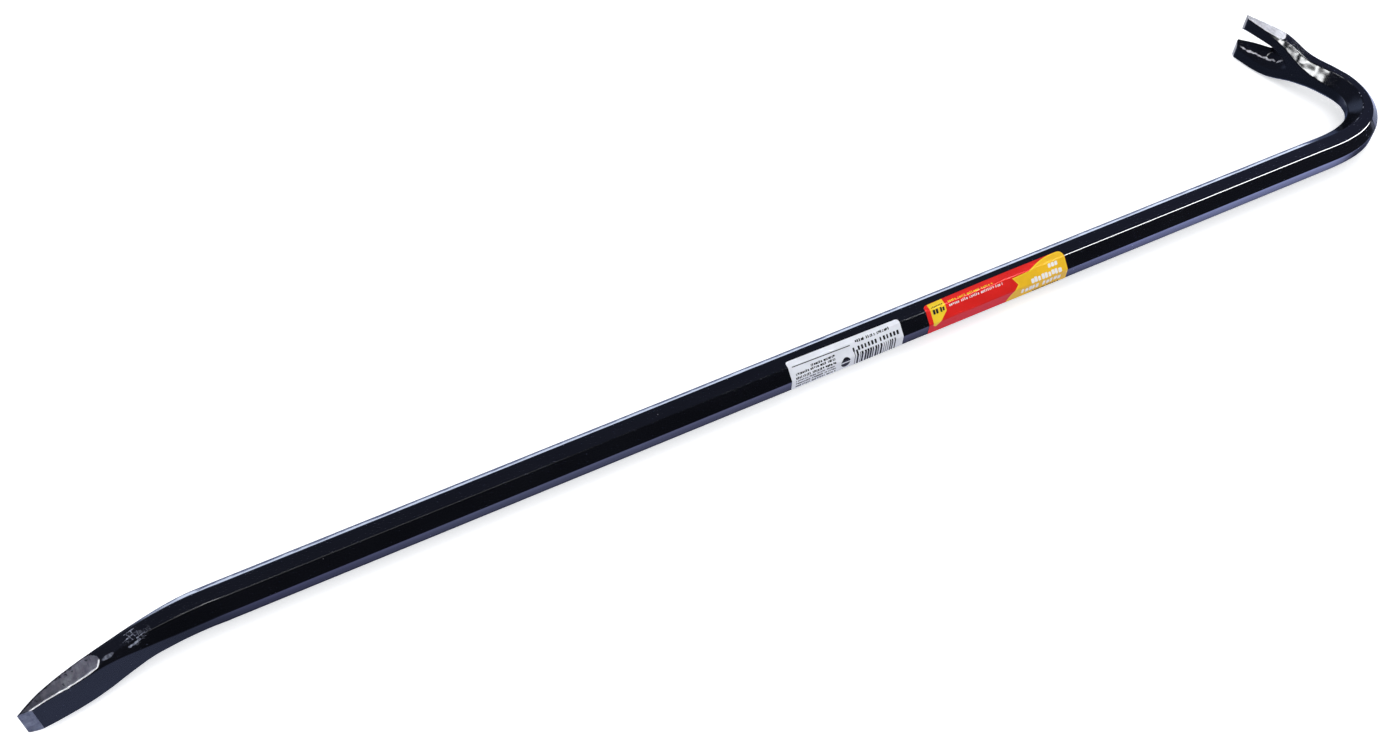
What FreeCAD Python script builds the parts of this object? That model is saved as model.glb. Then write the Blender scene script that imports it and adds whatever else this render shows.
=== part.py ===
import FreeCAD, Part
import math
import os

# Gooseneck pry bar of octagonal stock, with two wrapped labels. Millimetres.
# +Z up, +X along the shank towards the hook, which rises towards +Y. The bar
# lies on its side, so both bends are level and the edges of the claw and the
# chisel are upright. The origin is on the underside flat of the shank, half
# way along the overall length. The front is the -Y side.

V = FreeCAD.Vector

# --- stock and shank ---------------------------------------------------------
ACROSS_FLATS = 20.9
HALF_FLATS = ACROSS_FLATS / 2
AXIS_HEIGHT = HALF_FLATS     # the shank's axis above the origin
EDGE_RADIUS = 1.5            # rounding of the octagon's long edges
STOCK_CUT = HALF_FLATS * (2 - math.sqrt(2))   # corner cut of a regular octagon
HALF_TURN_TAN = math.tan(math.radians(22.5))  # half of the 45 degree turn at a corner
SHANK_LENGTH = 733.6
SHANK_X0 = -344.1            # chisel end
SHANK_X1 = SHANK_X0 + SHANK_LENGTH

# --- hook --------------------------------------------------------------------
# Every table of the hook and the chisel runs along the centre line, starting
# at the shank: (arc length, value).
HOOK_LENGTH = 164.2
# (arc length, heading in degrees from +X towards +Y)
HOOK_HEADING = [
    (0, 0), (8, 0.5), (16, 2.6), (26, 7.9), (36, 17.1), (45.5, 29.8), (55.5, 47.0),
    (65.5, 67.5), (75.5, 87.4), (85.5, 103.2), (95, 111.8), (105, 114.5), (115, 114.1),
    (135, 112.7), (155, 112.0), (165, 112.6)]
# Thickness is in the plane of the bend and width is upright. The corner cuts
# are those on the inside and the outside of the bend.
HOOK_SECTION = dict(
    thickness=[
        (0, ACROSS_FLATS), (26, 21.2), (36, 21.2), (46, 20.5), (56, 19.1), (66, 17.5),
        (78, 16.2), (88, 15.9), (98, 16.2), (107, 15.8), (117, 14.0), (127, 12.2),
        (137, 10.8), (147, 8.9), (156, 6.4), (165, 3.2)],
    width=[
        (0, ACROSS_FLATS), (14, 20.5), (26, 20.2), (36, 20.5), (46, 21.2), (66, 21.7),
        (86, 21.6), (100, 21.1), (107, 21.3), (112, 22.2), (118, 24.7), (124, 28.7),
        (130, 32.8), (136, 35.2), (145, 35.9), (156, 36.1), (165, 36.4)],
    inner_cut=[
        (0, 6.12), (12, 6.4), (26, 6.8), (36, 7.2), (46, 7.7), (56, 7.7), (76, 7.1),
        (95, 6.7), (105, 6.0), (113, 4.8), (123, 3.9), (133, 2.7), (143, 1.4),
        (153, 1.0), (165, 0.8)],
    outer_cut=[
        (0, 6.12), (26, 6.0), (36, 5.7), (46, 5.2), (66, 4.4), (86, 3.8), (97, 4.0),
        (107, 4.0), (117, 3.3), (127, 2.2), (140, 1.5), (153, 1.3), (165, 0.9)],
    radius=[(0, EDGE_RADIUS), (60, 1.7), (95, 1.5), (120, 1.2), (145, 0.8), (165, 0.4)])

# --- claw slot, measured back from the claw's end ------------------------------
SLOT_LENGTH = 40.4
SLOT_THROUGH = 23.5          # root of the part that goes right through
# (distance back, half width) on the countersunk inside face
SLOT_INSIDE = [
    (-6, 8.3), (0, 8.7), (7, 9.1), (14, 9.35), (20, 9.4), (25, 9.1), (29, 8.4),
    (32, 7.4), (35, 5.9), (37.5, 4.2), (39.2, 2.6), (SLOT_LENGTH, 1.0)]
# (distance back, half width) on the outside face, then on the countersink's floor
SLOT_OUTSIDE = [
    (-6, 6.2), (0, 4.9), (4.6, 4.0), (9.6, 2.9), (16.7, 1.7), (22, 0.9),
    (SLOT_THROUGH, 0.7), (31, 0.6), (SLOT_LENGTH, 0.4)]
SLOT_STATIONS = [
    -6, -3, 0, 4, 8, 12, 16, 20, SLOT_THROUGH, 26, 28.5, 31, 33.5, 36, 38, 39.5,
    SLOT_LENGTH]
SLOT_END_DEPTH = 0.6         # countersink depth at the closed end
SLOT_FLOOR_POWER = 1.25      # how the floor rises from the root to the closed end
SLOT_OVERRUN = 1.5           # the cutter's reach past a face
SLOT_MIN_HALF = 0.15         # least half width of the cutter
SLOT_FLARE_FROM = 33         # from here back the overrun's flare is limited
SLOT_MAX_FLARE = 1.5         # that limit, sideways per unit of depth

# --- chisel ------------------------------------------------------------------
CHISEL_LENGTH = 113.7
CHISEL_HEADING = [
    (0, 180), (8, 181.2), (16, 183.9), (24, 187.4), (32, 190.3), (40, 192.3), (50, 193.9),
    (62, 195.3), (75, 195.7), (86, 195.2), (95, 196.0), (104, 198.4),
    (CHISEL_LENGTH, 201.6)]
CHISEL_SECTION = dict(
    thickness=[
        (0, ACROSS_FLATS), (12, 20.8), (20, 20.2), (28, 19.0), (36, 17.2), (44, 15.2),
        (52, 13.5), (60, 12.3), (68, 11.7), (76, 11.2), (86, 10.1), (94, 8.4),
        (102, 6.3), (108, 4.6), (CHISEL_LENGTH, 2.8)],
    width=[
        (0, ACROSS_FLATS), (12, 20.5), (22, 20.5), (30, 20.8), (38, 21.4), (46, 22.5),
        (54, 24.2), (60, 25.0), (68, 25.3), (80, 25.2), (92, 25.1), (99, 24.8),
        (106, 23.3), (CHISEL_LENGTH, 20.7)],
    inner_cut=[
        (0, 6.12), (10, 6.4), (26, 6.2), (36, 5.7), (46, 5.0), (54, 3.9), (62, 2.5),
        (70, 1.3), (80, 0.8), (95, 0.7), (CHISEL_LENGTH, 0.6)],
    outer_cut=[
        (0, 6.12), (12, 5.7), (22, 5.1), (32, 4.2), (40, 3.1), (48, 2.4), (58, 2.1),
        (68, 1.6), (80, 1.2), (95, 1.1), (CHISEL_LENGTH, 1.0)],
    radius=[(0, EDGE_RADIUS), (40, 1.3), (60, 0.9), (80, 0.5), (CHISEL_LENGTH, 0.35)])

LINE_STEP = 0.1              # integration step of the centre lines
STATION_PITCH = 4.6          # rough spacing of the lofted sections

# --- ground bevels: length behind the end, and the flat left at the end --------
PRONG_BEVEL = dict(run=3.1, end_flat=0.8)
CHISEL_BEVEL = dict(run=6.9, end_flat=0.5)
BEVEL_OVERRUN = 12           # the cutter's reach past the end
BEVEL_DEPTH = 25             # its depth away from the ground face
BEVEL_HALF_HEIGHT = 40

# --- labels ------------------------------------------------------------------
# x0, x1: ends along the shank. top_reach0, top_reach1: reach onto the top flat
# at each end, from the sharp corner. low_reach: reach down the lower front
# diagonal, from where the rounded edge stops. corner: radius of the corners.
LABEL_THICKNESS = 0.15
LABEL_LOW_CORNER_MAX = 2.5
LABEL_MIN_END = 0.05         # least straight end left beside a top corner
PRODUCT_LABEL = dict(x0=89.2, x1=189.0, top_reach0=4.3, top_reach1=5.0, low_reach=7.0,
                     corner=3.2)
BARCODE_LABEL = dict(x0=-4.9, x1=70.9, top_reach0=4.0, top_reach1=3.0, low_reach=7.0,
                     corner=1.9)


# --- curves ------------------------------------------------------------------
def monotone_cubic(table):
    """Smooth function through (x, y) points that never overshoots them."""
    count = len(table)
    xs = [float(x) for x, y in table]
    ys = [float(y) for x, y in table]
    gaps = [xs[i + 1] - xs[i] for i in range(count - 1)]
    slopes = [(ys[i + 1] - ys[i]) / gaps[i] for i in range(count - 1)]
    tangents = [0.0] * count
    for i in range(1, count - 1):
        if slopes[i - 1] * slopes[i] > 0:
            before = 2 * gaps[i] + gaps[i - 1]
            after = gaps[i] + 2 * gaps[i - 1]
            tangents[i] = (before + after) / (before / slopes[i - 1] + after / slopes[i])
    if tangents[1] != 0 and slopes[0] * (1.5 * slopes[0] - 0.5 * tangents[1]) > 0:
        tangents[0] = slopes[0]
    tangents[-1] = slopes[-1]

    def value(x):
        x = min(max(x, xs[0]), xs[-1])
        i = 0
        while i < count - 2 and x > xs[i + 1]:
            i += 1
        t = (x - xs[i]) / gaps[i]
        t2, t3 = t * t, t * t * t
        return (ys[i] * (2 * t3 - 3 * t2 + 1) + gaps[i] * tangents[i] * (t3 - 2 * t2 + t)
                + ys[i + 1] * (-2 * t3 + 3 * t2) + gaps[i] * tangents[i + 1] * (t3 - t2))
    return value


def centre_line(x, heading_table, length):
    """Integrate the heading from (x, 0) into a list of (arc length, x, y, heading)."""
    heading = monotone_cubic(heading_table)
    count = int(round(length / LINE_STEP))
    step = length / count
    y = 0.0
    line = [(0.0, x, y, math.radians(heading(0)))]
    for i in range(count):
        middle = math.radians(heading((i + 0.5) * step))
        x += math.cos(middle) * step
        y += math.sin(middle) * step
        line.append(((i + 1) * step, x, y, math.radians(heading((i + 1) * step))))
    return line


def frame_at(line, distance):
    """Nearest centre point, the way ahead, and the way to the outside of the bend."""
    last = len(line) - 1
    step = line[-1][0] / last
    _, x, y, angle = line[min(last, max(0, int(round(distance / step))))]
    ahead = V(math.cos(angle), math.sin(angle), 0)
    outward = V(math.sin(angle), -math.cos(angle), 0)
    return V(x, y, AXIS_HEIGHT), ahead, outward


# --- the forging -------------------------------------------------------------
def section_wire(centre, outward, thickness, width, inner_cut, outer_cut, radius):
    """Eight-sided section with rounded corners, square to the centre line."""
    out, up = thickness / 2, width / 2
    # (distance outward, distance up)
    corners = [
        (out, -up + outer_cut), (out, up - outer_cut),
        (out - outer_cut, up), (-out + inner_cut, up),
        (-out, up - inner_cut), (-out, -up + inner_cut),
        (-out + inner_cut, -up), (out - outer_cut, -up)]
    corners = [centre + outward * a + V(0, 0, b) for a, b in corners]
    count = len(corners)
    sides = [corners[(i + 1) % count] - corners[i] for i in range(count)]
    # how far each rounding runs along its sides, kept short of their middles
    setbacks = [min(radius * HALF_TURN_TAN, 0.42 * sides[i - 1].Length,
                    0.42 * sides[i].Length) for i in range(count)]
    edges = []
    for i in range(count):
        following = (i + 1) % count
        corner = corners[following]
        setback = setbacks[following]
        arriving = sides[i] * (1 / sides[i].Length)
        leaving = sides[following] * (1 / sides[following].Length)
        arc_start = corner - arriving * setback
        arc_end = corner + leaving * setback
        edges.append(Part.makeLine(corners[i] + arriving * setbacks[i], arc_start))
        arc_radius = setback / HALF_TURN_TAN
        inset = arc_radius / math.cos(math.radians(22.5)) - arc_radius
        bisector = leaving - arriving
        arc_middle = corner + bisector * (inset / bisector.Length)
        edges.append(Part.Arc(arc_start, arc_middle, arc_end).toShape())
    return Part.Wire(edges)


def forged_end(line, length, section):
    curves = {name: monotone_cubic(table) for name, table in section.items()}
    count = int(round(length / STATION_PITCH))
    wires = []
    for i in range(count + 1):
        distance = length * i / count
        centre, _, outward = frame_at(line, distance)
        sizes = {name: curve(distance) for name, curve in curves.items()}
        wires.append(section_wire(centre, outward, **sizes))
    return Part.makeLoft(wires, True, False)


def slot_cutter(line):
    """Tapered slot of the claw, shoaling into a countersink beyond its root."""
    inside = monotone_cubic(SLOT_INSIDE)
    outside = monotone_cubic(SLOT_OUTSIDE)
    thickness_at = monotone_cubic(HOOK_SECTION["thickness"])
    wires = []
    for back in SLOT_STATIONS:
        # negative stations lie straight ahead of the claw's end
        distance = HOOK_LENGTH - max(back, 0)
        centre, ahead, outward = frame_at(line, distance)
        centre += ahead * max(-back, 0)
        thickness = thickness_at(distance)
        inner, outer = -thickness / 2, thickness / 2
        outer_overrun = SLOT_OVERRUN
        if back > SLOT_THROUGH:
            part = (back - SLOT_THROUGH) / (SLOT_LENGTH - SLOT_THROUGH)
            outer -= (thickness - SLOT_END_DEPTH) * part ** SLOT_FLOOR_POWER
            outer_overrun = 0
        # carry the walls past the faces at their own slope
        flare = (inside(back) - outside(back)) / (outer - inner)
        inner_flare = flare if back < SLOT_FLARE_FROM else min(flare, SLOT_MAX_FLARE)
        inner_half = inside(back) + inner_flare * SLOT_OVERRUN
        outer_half = max(outside(back) - flare * outer_overrun, SLOT_MIN_HALF)
        inner_middle = centre + outward * (inner - SLOT_OVERRUN)
        outer_middle = centre + outward * (outer + outer_overrun)
        inner_up, outer_up = V(0, 0, inner_half), V(0, 0, outer_half)
        wires.append(Part.makePolygon([
            inner_middle - inner_up, outer_middle - outer_up, outer_middle + outer_up,
            inner_middle + inner_up, inner_middle - inner_up]))
    return Part.makeLoft(wires, True, True)


def bevel_cutter(line, length, section, run, end_flat):
    """Block that slopes the inside face down towards the outside at the end."""
    thickness_at = monotone_cubic(section["thickness"])
    end, _, end_outward = frame_at(line, length)
    back, _, back_outward = frame_at(line, length - run)
    edge = end + end_outward * (thickness_at(length) / 2 - end_flat)
    near = back - back_outward * (thickness_at(length - run) / 2)
    slope = edge - near
    far = edge + slope * (BEVEL_OVERRUN / slope.Length)
    depth = end_outward * -BEVEL_DEPTH
    face = Part.Face(Part.makePolygon([near, far, far + depth, near + depth, near]))
    face.translate(V(0, 0, -BEVEL_HALF_HEIGHT))
    return face.extrude(V(0, 0, 2 * BEVEL_HALF_HEIGHT))


def make_bar():
    shank = Part.Face(section_wire(
        V(SHANK_X0, 0, AXIS_HEIGHT), V(0, -1, 0), thickness=ACROSS_FLATS,
        width=ACROSS_FLATS, inner_cut=STOCK_CUT, outer_cut=STOCK_CUT,
        radius=EDGE_RADIUS)).extrude(V(SHANK_LENGTH, 0, 0))

    hook_line = centre_line(SHANK_X1, HOOK_HEADING, HOOK_LENGTH)
    hook = forged_end(hook_line, HOOK_LENGTH, HOOK_SECTION)
    hook = hook.cut(slot_cutter(hook_line))
    hook = hook.cut(bevel_cutter(hook_line, HOOK_LENGTH, HOOK_SECTION, **PRONG_BEVEL))

    chisel_line = centre_line(SHANK_X0, CHISEL_HEADING, CHISEL_LENGTH)
    chisel = forged_end(chisel_line, CHISEL_LENGTH, CHISEL_SECTION)
    chisel = chisel.cut(
        bevel_cutter(chisel_line, CHISEL_LENGTH, CHISEL_SECTION, **CHISEL_BEVEL))
    return shank.fuse([hook, chisel]).removeSplitter()


# --- labels ------------------------------------------------------------------
# Each piece is made on the top of a shank whose axis is the X axis, then
# turned about it: 45 is the upper front diagonal, 90 the front flat and 135
# the lower front diagonal.
def turned(shape, angle):
    shape.rotate(V(0, 0, 0), V(1, 0, 0), angle)
    return shape


def label_flap(x0, x1, base, y0, y1, radius):
    """Plate from y = base to y0 at x0 and y1 at x1, its two free corners rounded."""
    inset = radius * (1 - math.sqrt(0.5))
    edges = [
        Part.makeLine(V(x0, base, 0), V(x1, base, 0)),
        Part.makeLine(V(x1, base, 0), V(x1, y1 - radius, 0)),
        Part.Arc(V(x1, y1 - radius, 0), V(x1 - inset, y1 - inset, 0),
                 V(x1 - radius, y1, 0)).toShape(),
        Part.makeLine(V(x1 - radius, y1, 0), V(x0 + radius, y0, 0)),
        Part.Arc(V(x0 + radius, y0, 0), V(x0 + inset, y0 - inset, 0),
                 V(x0, y0 - radius, 0)).toShape(),
        Part.makeLine(V(x0, y0 - radius, 0), V(x0, base, 0))]
    flap = Part.Face(Part.Wire(edges)).extrude(V(0, 0, LABEL_THICKNESS))
    flap.translate(V(0, 0, HALF_FLATS))
    return flap


def label_bend(x0, length, flat_half):
    """Strip round the long edge between the top flat and the upper front diagonal."""
    def point(radius, degrees):
        angle = math.radians(degrees)
        return V(x0, -flat_half - radius * math.sin(angle),
                 HALF_FLATS - EDGE_RADIUS + radius * math.cos(angle))
    inner, outer = EDGE_RADIUS, EDGE_RADIUS + LABEL_THICKNESS
    edges = [
        Part.Arc(point(inner, 0), point(inner, 22.5), point(inner, 45)).toShape(),
        Part.makeLine(point(inner, 45), point(outer, 45)),
        Part.Arc(point(outer, 45), point(outer, 22.5), point(outer, 0)).toShape(),
        Part.makeLine(point(outer, 0), point(inner, 0))]
    return Part.Face(Part.Wire(edges)).extrude(V(length, 0, 0))


def make_label(x0, x1, top_reach0, top_reach1, low_reach, corner):
    side_half = ACROSS_FLATS * HALF_TURN_TAN / 2
    setback = EDGE_RADIUS * HALF_TURN_TAN
    flat_half = side_half - setback        # half the flat between the rounded edges
    length = x1 - x0

    top_corner = min(corner, min(top_reach0, top_reach1) - setback - LABEL_MIN_END)
    pieces = [label_flap(x0, x1, -flat_half, -side_half + top_reach0,
                         -side_half + top_reach1, top_corner)]
    for angle in (45, 90):
        strip = Part.makeBox(length, 2 * flat_half, LABEL_THICKNESS,
                             V(x0, -flat_half, HALF_FLATS))
        pieces.append(turned(strip, angle))

    # mirrored, so that it hangs from the front flat's lower edge
    low = label_flap(x0, x1, 0.0, low_reach, low_reach, min(corner, LABEL_LOW_CORNER_MAX))
    mirror = FreeCAD.Matrix()
    mirror.scale(1, -1, 1)
    low = low.transformGeometry(mirror)
    low.translate(V(0, flat_half, 0))
    pieces.append(turned(low, 135))

    for angle in (0, 45, 90):
        pieces.append(turned(label_bend(x0, length, flat_half), angle))
    label = pieces[0].fuse(pieces[1:]).removeSplitter()
    label.translate(V(0, 0, AXIS_HEIGHT))
    return label


# --- export ------------------------------------------------------------------
os.makedirs("parts", exist_ok=True)
for name, shape in (("bar", make_bar()),
                    ("product_label", make_label(**PRODUCT_LABEL)),
                    ("barcode_label", make_label(**BARCODE_LABEL))):
    solids = shape.Solids
    piece = solids[0] if len(solids) == 1 else shape
    piece.exportStep("parts/%s.step" % name)
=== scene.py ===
# A gloss black octagonal pry bar with bare ground tips, lying flat on a pale floor.
# The shank runs along X with its underside at z = 0. The chisel end is at -X and bends towards
# -Y, the camera side, called the front here. The hook at +X swings round towards +Y, the back,
# and ends in a slotted claw. Two labels wrap over the top and front of the shank.
# Shapes are in millimetres until written to a mesh; shaders, floor, lights and camera in metres.
import math
from collections import namedtuple
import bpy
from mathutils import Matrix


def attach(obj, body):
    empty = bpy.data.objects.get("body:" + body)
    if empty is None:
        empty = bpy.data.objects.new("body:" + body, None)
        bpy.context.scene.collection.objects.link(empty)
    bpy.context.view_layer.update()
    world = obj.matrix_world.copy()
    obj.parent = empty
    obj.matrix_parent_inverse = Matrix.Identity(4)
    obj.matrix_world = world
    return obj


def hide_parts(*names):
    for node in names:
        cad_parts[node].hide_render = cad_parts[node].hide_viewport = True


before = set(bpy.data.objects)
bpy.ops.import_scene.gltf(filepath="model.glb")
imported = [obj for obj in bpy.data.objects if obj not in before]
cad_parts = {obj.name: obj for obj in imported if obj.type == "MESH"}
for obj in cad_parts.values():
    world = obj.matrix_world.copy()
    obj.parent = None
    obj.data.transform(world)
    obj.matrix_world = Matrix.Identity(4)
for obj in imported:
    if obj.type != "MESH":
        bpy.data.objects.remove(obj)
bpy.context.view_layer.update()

from types import SimpleNamespace

import bmesh
import bpy
from mathutils import Matrix, Vector, noise

MM = 0.001
scene = bpy.context.scene

# ============================================================================
# 1. Dimensions of the forging
# ============================================================================
FLATS = 20.9                                # across the flats of the octagonal stock
EDGE_RADIUS = 1.5
SHANK_LENGTH = 733.6
SHANK_X0 = -344.1
SHANK_X1 = SHANK_X0 + SHANK_LENGTH
MID_Z = FLATS / 2
CORNER_CUT = MID_Z * (2 - math.sqrt(2))     # what the octagon cuts off a square corner
HALF_FLAT = MID_Z * (math.sqrt(2) - 1)

# Every table: (distance along the centre line from the shank, value).
# heading is in degrees anticlockwise from +X; the cuts are the diagonals' legs on the inside and
# the outside of the bend; thickness is across the bend, width is vertical.
HOOK_TABLES = dict(
    heading=[(0, 0), (8, 0.5), (16, 2.6), (26, 7.9), (36, 17.1), (45.5, 29.8), (55.5, 47.0),
             (65.5, 67.5), (75.5, 87.4), (85.5, 103.2), (95, 111.8), (105, 114.5),
             (115, 114.1), (135, 112.7), (155, 112.0), (165, 112.6)],
    thickness=[(0, 20.9), (26, 21.2), (36, 21.2), (46, 20.5), (56, 19.1), (66, 17.5),
               (78, 16.2), (88, 15.9), (98, 16.2), (107, 15.8), (117, 14.0), (127, 12.2),
               (137, 10.8), (147, 8.9), (156, 6.4), (165, 3.2)],
    width=[(0, 20.9), (14, 20.5), (26, 20.2), (36, 20.5), (46, 21.2), (66, 21.7), (86, 21.6),
           (100, 21.1), (107, 21.3), (112, 22.2), (118, 24.7), (124, 28.7), (130, 32.8),
           (136, 35.2), (145, 35.9), (156, 36.1), (165, 36.4)],
    inner_cut=[(0, 6.12), (12, 6.4), (26, 6.8), (36, 7.2), (46, 7.7), (56, 7.7), (76, 7.1),
               (95, 6.7), (105, 6.0), (113, 4.8), (123, 3.9), (133, 2.7), (143, 1.4),
               (153, 1.0), (165, 0.8)],
    outer_cut=[(0, 6.12), (26, 6.0), (36, 5.7), (46, 5.2), (66, 4.4), (86, 3.8), (97, 4.0),
               (107, 4.0), (117, 3.3), (127, 2.2), (140, 1.5), (153, 1.3), (165, 0.9)],
    edge_radius=[(0, 1.5), (60, 1.7), (95, 1.5), (120, 1.2), (145, 0.8), (165, 0.4)],
)
CHISEL_TABLES = dict(
    heading=[(0, 180), (8, 181.2), (16, 183.9), (24, 187.4), (32, 190.3), (40, 192.3),
             (50, 193.9), (62, 195.3), (75, 195.7), (86, 195.2), (95, 196.0), (104, 198.4),
             (113.7, 201.6)],
    thickness=[(0, 20.9), (12, 20.8), (20, 20.2), (28, 19.0), (36, 17.2), (44, 15.2),
               (52, 13.5), (60, 12.3), (68, 11.7), (76, 11.2), (86, 10.1), (94, 8.4),
               (102, 6.3), (108, 4.6), (113.7, 2.8)],
    width=[(0, 20.9), (12, 20.5), (22, 20.5), (30, 20.8), (38, 21.4), (46, 22.5), (54, 24.2),
           (60, 25.0), (68, 25.3), (80, 25.2), (92, 25.1), (99, 24.8), (106, 23.3),
           (113.7, 20.7)],
    inner_cut=[(0, 6.12), (10, 6.4), (26, 6.2), (36, 5.7), (46, 5.0), (54, 3.9), (62, 2.5),
               (70, 1.3), (80, 0.8), (95, 0.7), (113.7, 0.6)],
    outer_cut=[(0, 6.12), (12, 5.7), (22, 5.1), (32, 4.2), (40, 3.1), (48, 2.4), (58, 2.1),
               (68, 1.6), (80, 1.2), (95, 1.1), (113.7, 1.0)],
    edge_radius=[(0, 1.5), (40, 1.3), (60, 0.9), (80, 0.5), (113.7, 0.35)],
)
# bevel_run, edge_left: length of the tip bevel and the blunt edge it leaves.
# soft_start, soft_radius: where the inner side corner starts to soften, and how far it goes.
# ground_start, ground_bow: start of the ground sides, and how much later at the two faces.
# inner_margin, outer_margin: how far bare steel reaches from the side face, by half.
# ground_blend: softening of the bare patch's corners; outer_rim: paint left along the outside.
# bevel_bare: length of bare steel back from the tip on the bevel.
HOOK_TIP = SimpleNamespace(
    length=164.2, bevel_run=3.1, edge_left=0.8, soft_start=120, soft_radius=0.7,
    ground_start=133.2, ground_bow=3.2, inner_margin=0.42, outer_margin=0.16,
    ground_blend=1.2, outer_rim=1.15, bevel_bare=0.62 * 3.1)
CHISEL_TIP = SimpleNamespace(
    length=113.7, bevel_run=6.9, edge_left=0.5, soft_start=50, soft_radius=0.9,
    ground_start=66.5, ground_bow=4.5, inner_margin=0.55, outer_margin=0.14,
    ground_blend=1.5, outer_rim=1.2, bevel_bare=6.9 - 0.05)

# The claw's slot, as (distance back from the tip, half width) on the inside and outside faces.
SLOT_LENGTH = 40.4
SLOT_THROUGH = 23.5                         # beyond this the slot no longer goes right through
SLOT_INNER = [(-6, 8.3), (0, 8.7), (7, 9.1), (14, 9.35), (20, 9.4), (25, 9.1), (29, 8.4),
              (32, 7.4), (35, 5.9), (37.5, 4.2), (39.2, 2.6), (40.4, 1.0)]
SLOT_OUTER = [(-6, 6.2), (0, 4.9), (4.6, 4.0), (9.6, 2.9), (16.7, 1.7), (22, 0.9),
              (23.5, 0.7), (31, 0.6), (40.4, 0.4)]

# Segment counts round half a section.
ARC_STEPS = 5                               # each rounded corner
FLAT_STEPS = (4, 6, 6, 6)                   # +across face, diagonal, side, diagonal
LAST_FACE_STEPS = 4                         # -across face
LIP_STEPS, WALL_STEPS, FLOOR_STEPS = 4, 6, 2

# Face numbers stored on the mesh: 0 to 4 run from the +across face round to the -across face.
SLOT_WALL, SLOT_FLOOR, BEVEL = 5, 6, 7
NOT_GROUND = -5.0                           # ground depth of fully painted places


def lerp(p, q, t):
    return (p[0] + (q[0] - p[0]) * t, p[1] + (q[1] - p[1]) * t)


def unit(p, q):
    length = math.dist(p, q)
    return ((q[0] - p[0]) / length, (q[1] - p[1]) / length)


def soft_min(a, b, blend):
    h = max(blend - abs(a - b), 0.0) / blend
    return min(a, b) - h * h * blend * 0.25


def curve_through(table):
    """Monotone cubic function through a table of (station, value)."""
    xs, ys = zip(*table)
    n = len(table)
    gap = [xs[i + 1] - xs[i] for i in range(n - 1)]
    slope = [(ys[i + 1] - ys[i]) / gap[i] for i in range(n - 1)]
    tangent = [0.0] * n
    for i in range(1, n - 1):
        if slope[i - 1] * slope[i] > 0:
            w1 = 2 * gap[i] + gap[i - 1]
            w2 = gap[i] + 2 * gap[i - 1]
            tangent[i] = (w1 + w2) / (w1 / slope[i - 1] + w2 / slope[i])
    if slope[0] * (1.5 * slope[0] - 0.5 * tangent[1]) > 0 and abs(tangent[1]) > 0:
        tangent[0] = slope[0]
    tangent[-1] = slope[-1]

    def value(x):
        x = min(max(x, xs[0]), xs[-1])
        i = 0
        while i < n - 2 and x > xs[i + 1]:
            i += 1
        t = (x - xs[i]) / gap[i]
        t2, t3 = t * t, t * t * t
        return (ys[i] * (2 * t3 - 3 * t2 + 1) + gap[i] * tangent[i] * (t3 - 2 * t2 + t)
                + ys[i + 1] * (-2 * t3 + 3 * t2) + gap[i] * tangent[i + 1] * (t3 - t2))
    return value


# ============================================================================
# 2. Sections of the forging
# ============================================================================
# x, y: centre; across: horizontal unit vector of the section; ring: the half ring;
# arc: distance along the bar from the chisel end of the shank; kind: 0 chisel, 1 shank, 2 hook;
# ground: function giving the signed depth into the bare steel at a ring point.
Section = namedtuple("Section", "x y across ring arc kind ground")


def round_corner(before, corner, after, radius, limit):
    """Points round an arc at a corner, whose tangent length is held under the limit."""
    u1, u2 = unit(before, corner), unit(corner, after)
    turn = math.acos(max(-1, min(1, u1[0] * u2[0] + u1[1] * u2[1])))
    tangent = min(radius * math.tan(turn / 2), limit)
    if tangent < 1e-6:
        return [corner] * (ARC_STEPS + 1)
    radius = tangent / math.tan(turn / 2)
    side = 1 if u1[0] * u2[1] - u1[1] * u2[0] > 0 else -1
    inward = (-u1[1] * side, u1[0] * side)
    cx = corner[0] - u1[0] * tangent + inward[0] * radius
    cy = corner[1] - u1[1] * tangent + inward[1] * radius
    vx, vy = -inward[0] * radius, -inward[1] * radius
    points = []
    for k in range(ARC_STEPS + 1):
        angle = turn * k / ARC_STEPS
        ca, sa = math.cos(angle), math.sin(angle) * side
        points.append((cx + vx * ca - vy * sa, cy + vx * sa + vy * ca))
    return points


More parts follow.
